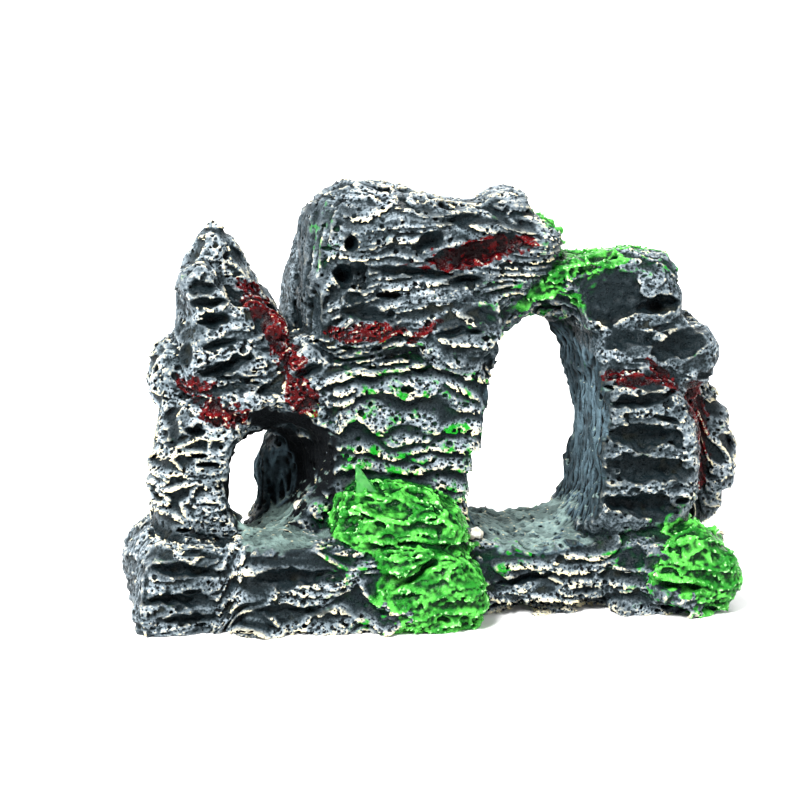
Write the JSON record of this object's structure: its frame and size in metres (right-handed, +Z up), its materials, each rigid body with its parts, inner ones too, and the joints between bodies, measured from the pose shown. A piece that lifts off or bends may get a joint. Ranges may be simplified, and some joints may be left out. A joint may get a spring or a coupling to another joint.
{
  "type": "aquarium cave ornament",
  "caption": "Rocky aquarium ornament with a small cave, a tall arch, a pointed spire and mossy ledges on a flat base.",
  "frame": {"origin": "middle of the flat underside, at the centre of the footprint's box", "axes": "+X along the ornament to the right as seen from the front, +Y to its back, +Z up"},
  "size_m": [0.16, 0.064, 0.106],
  "materials": {
    "painted_resin_rock": "cast polyresin rock, dark slate base coat with a pale grey wash and cream dry-brushed ridges, satin",
    "red_washed_rock": "the same rock with a glossy dark crimson wash",
    "green_moss_flock": "lumpy bright green moss coat with a wet gloss",
    "green_shard": "dark green painted shard, satin",
    "white_pebble": "off-white grit, matte"
  },
  "bodies": {
    "root": {"base_slab": "painted_resin_rock", "base_left_block": "painted_resin_rock", "base_right_block": "painted_resin_rock", "cave_ledge": "painted_resin_rock", "arch_sill": "painted_resin_rock", "rear_ledge_left": "painted_resin_rock", "rear_ledge_right": "painted_resin_rock", "centre_column": "painted_resin_rock", "crown_block": "painted_resin_rock", "crown_knob": "painted_resin_rock", "arch_brow": "painted_resin_rock", "rear_fin": "painted_resin_rock", "rear_buttress": "painted_resin_rock", "cave_ring": "painted_resin_rock", "spire_peak": "painted_resin_rock", "spire_rib": "painted_resin_rock", "left_boulder": "painted_resin_rock", "cave_knuckle": "red_washed_rock", "spire_flake_upper": "red_washed_rock", "spire_flake_lower": "red_washed_rock", "rear_left_leg": "painted_resin_rock", "pillar_core": "painted_resin_rock", "arch_lintel": "painted_resin_rock", "pillar_top": "painted_resin_rock", "pillar_shoulder": "painted_resin_rock", "pillar_boss": "painted_resin_rock", "pillar_ridge": "painted_resin_rock", "leaf_shard": "green_shard", "pebble_arch": "white_pebble", "pebble_cave": "white_pebble", "moss_mound": "green_moss_flock", "moss_bank": "green_moss_flock", "moss_right": "green_moss_flock", "moss_arch": "green_moss_flock", "moss_cap": "green_moss_flock", "moss_drip": "green_moss_flock"}
  },
  "joints": []
}
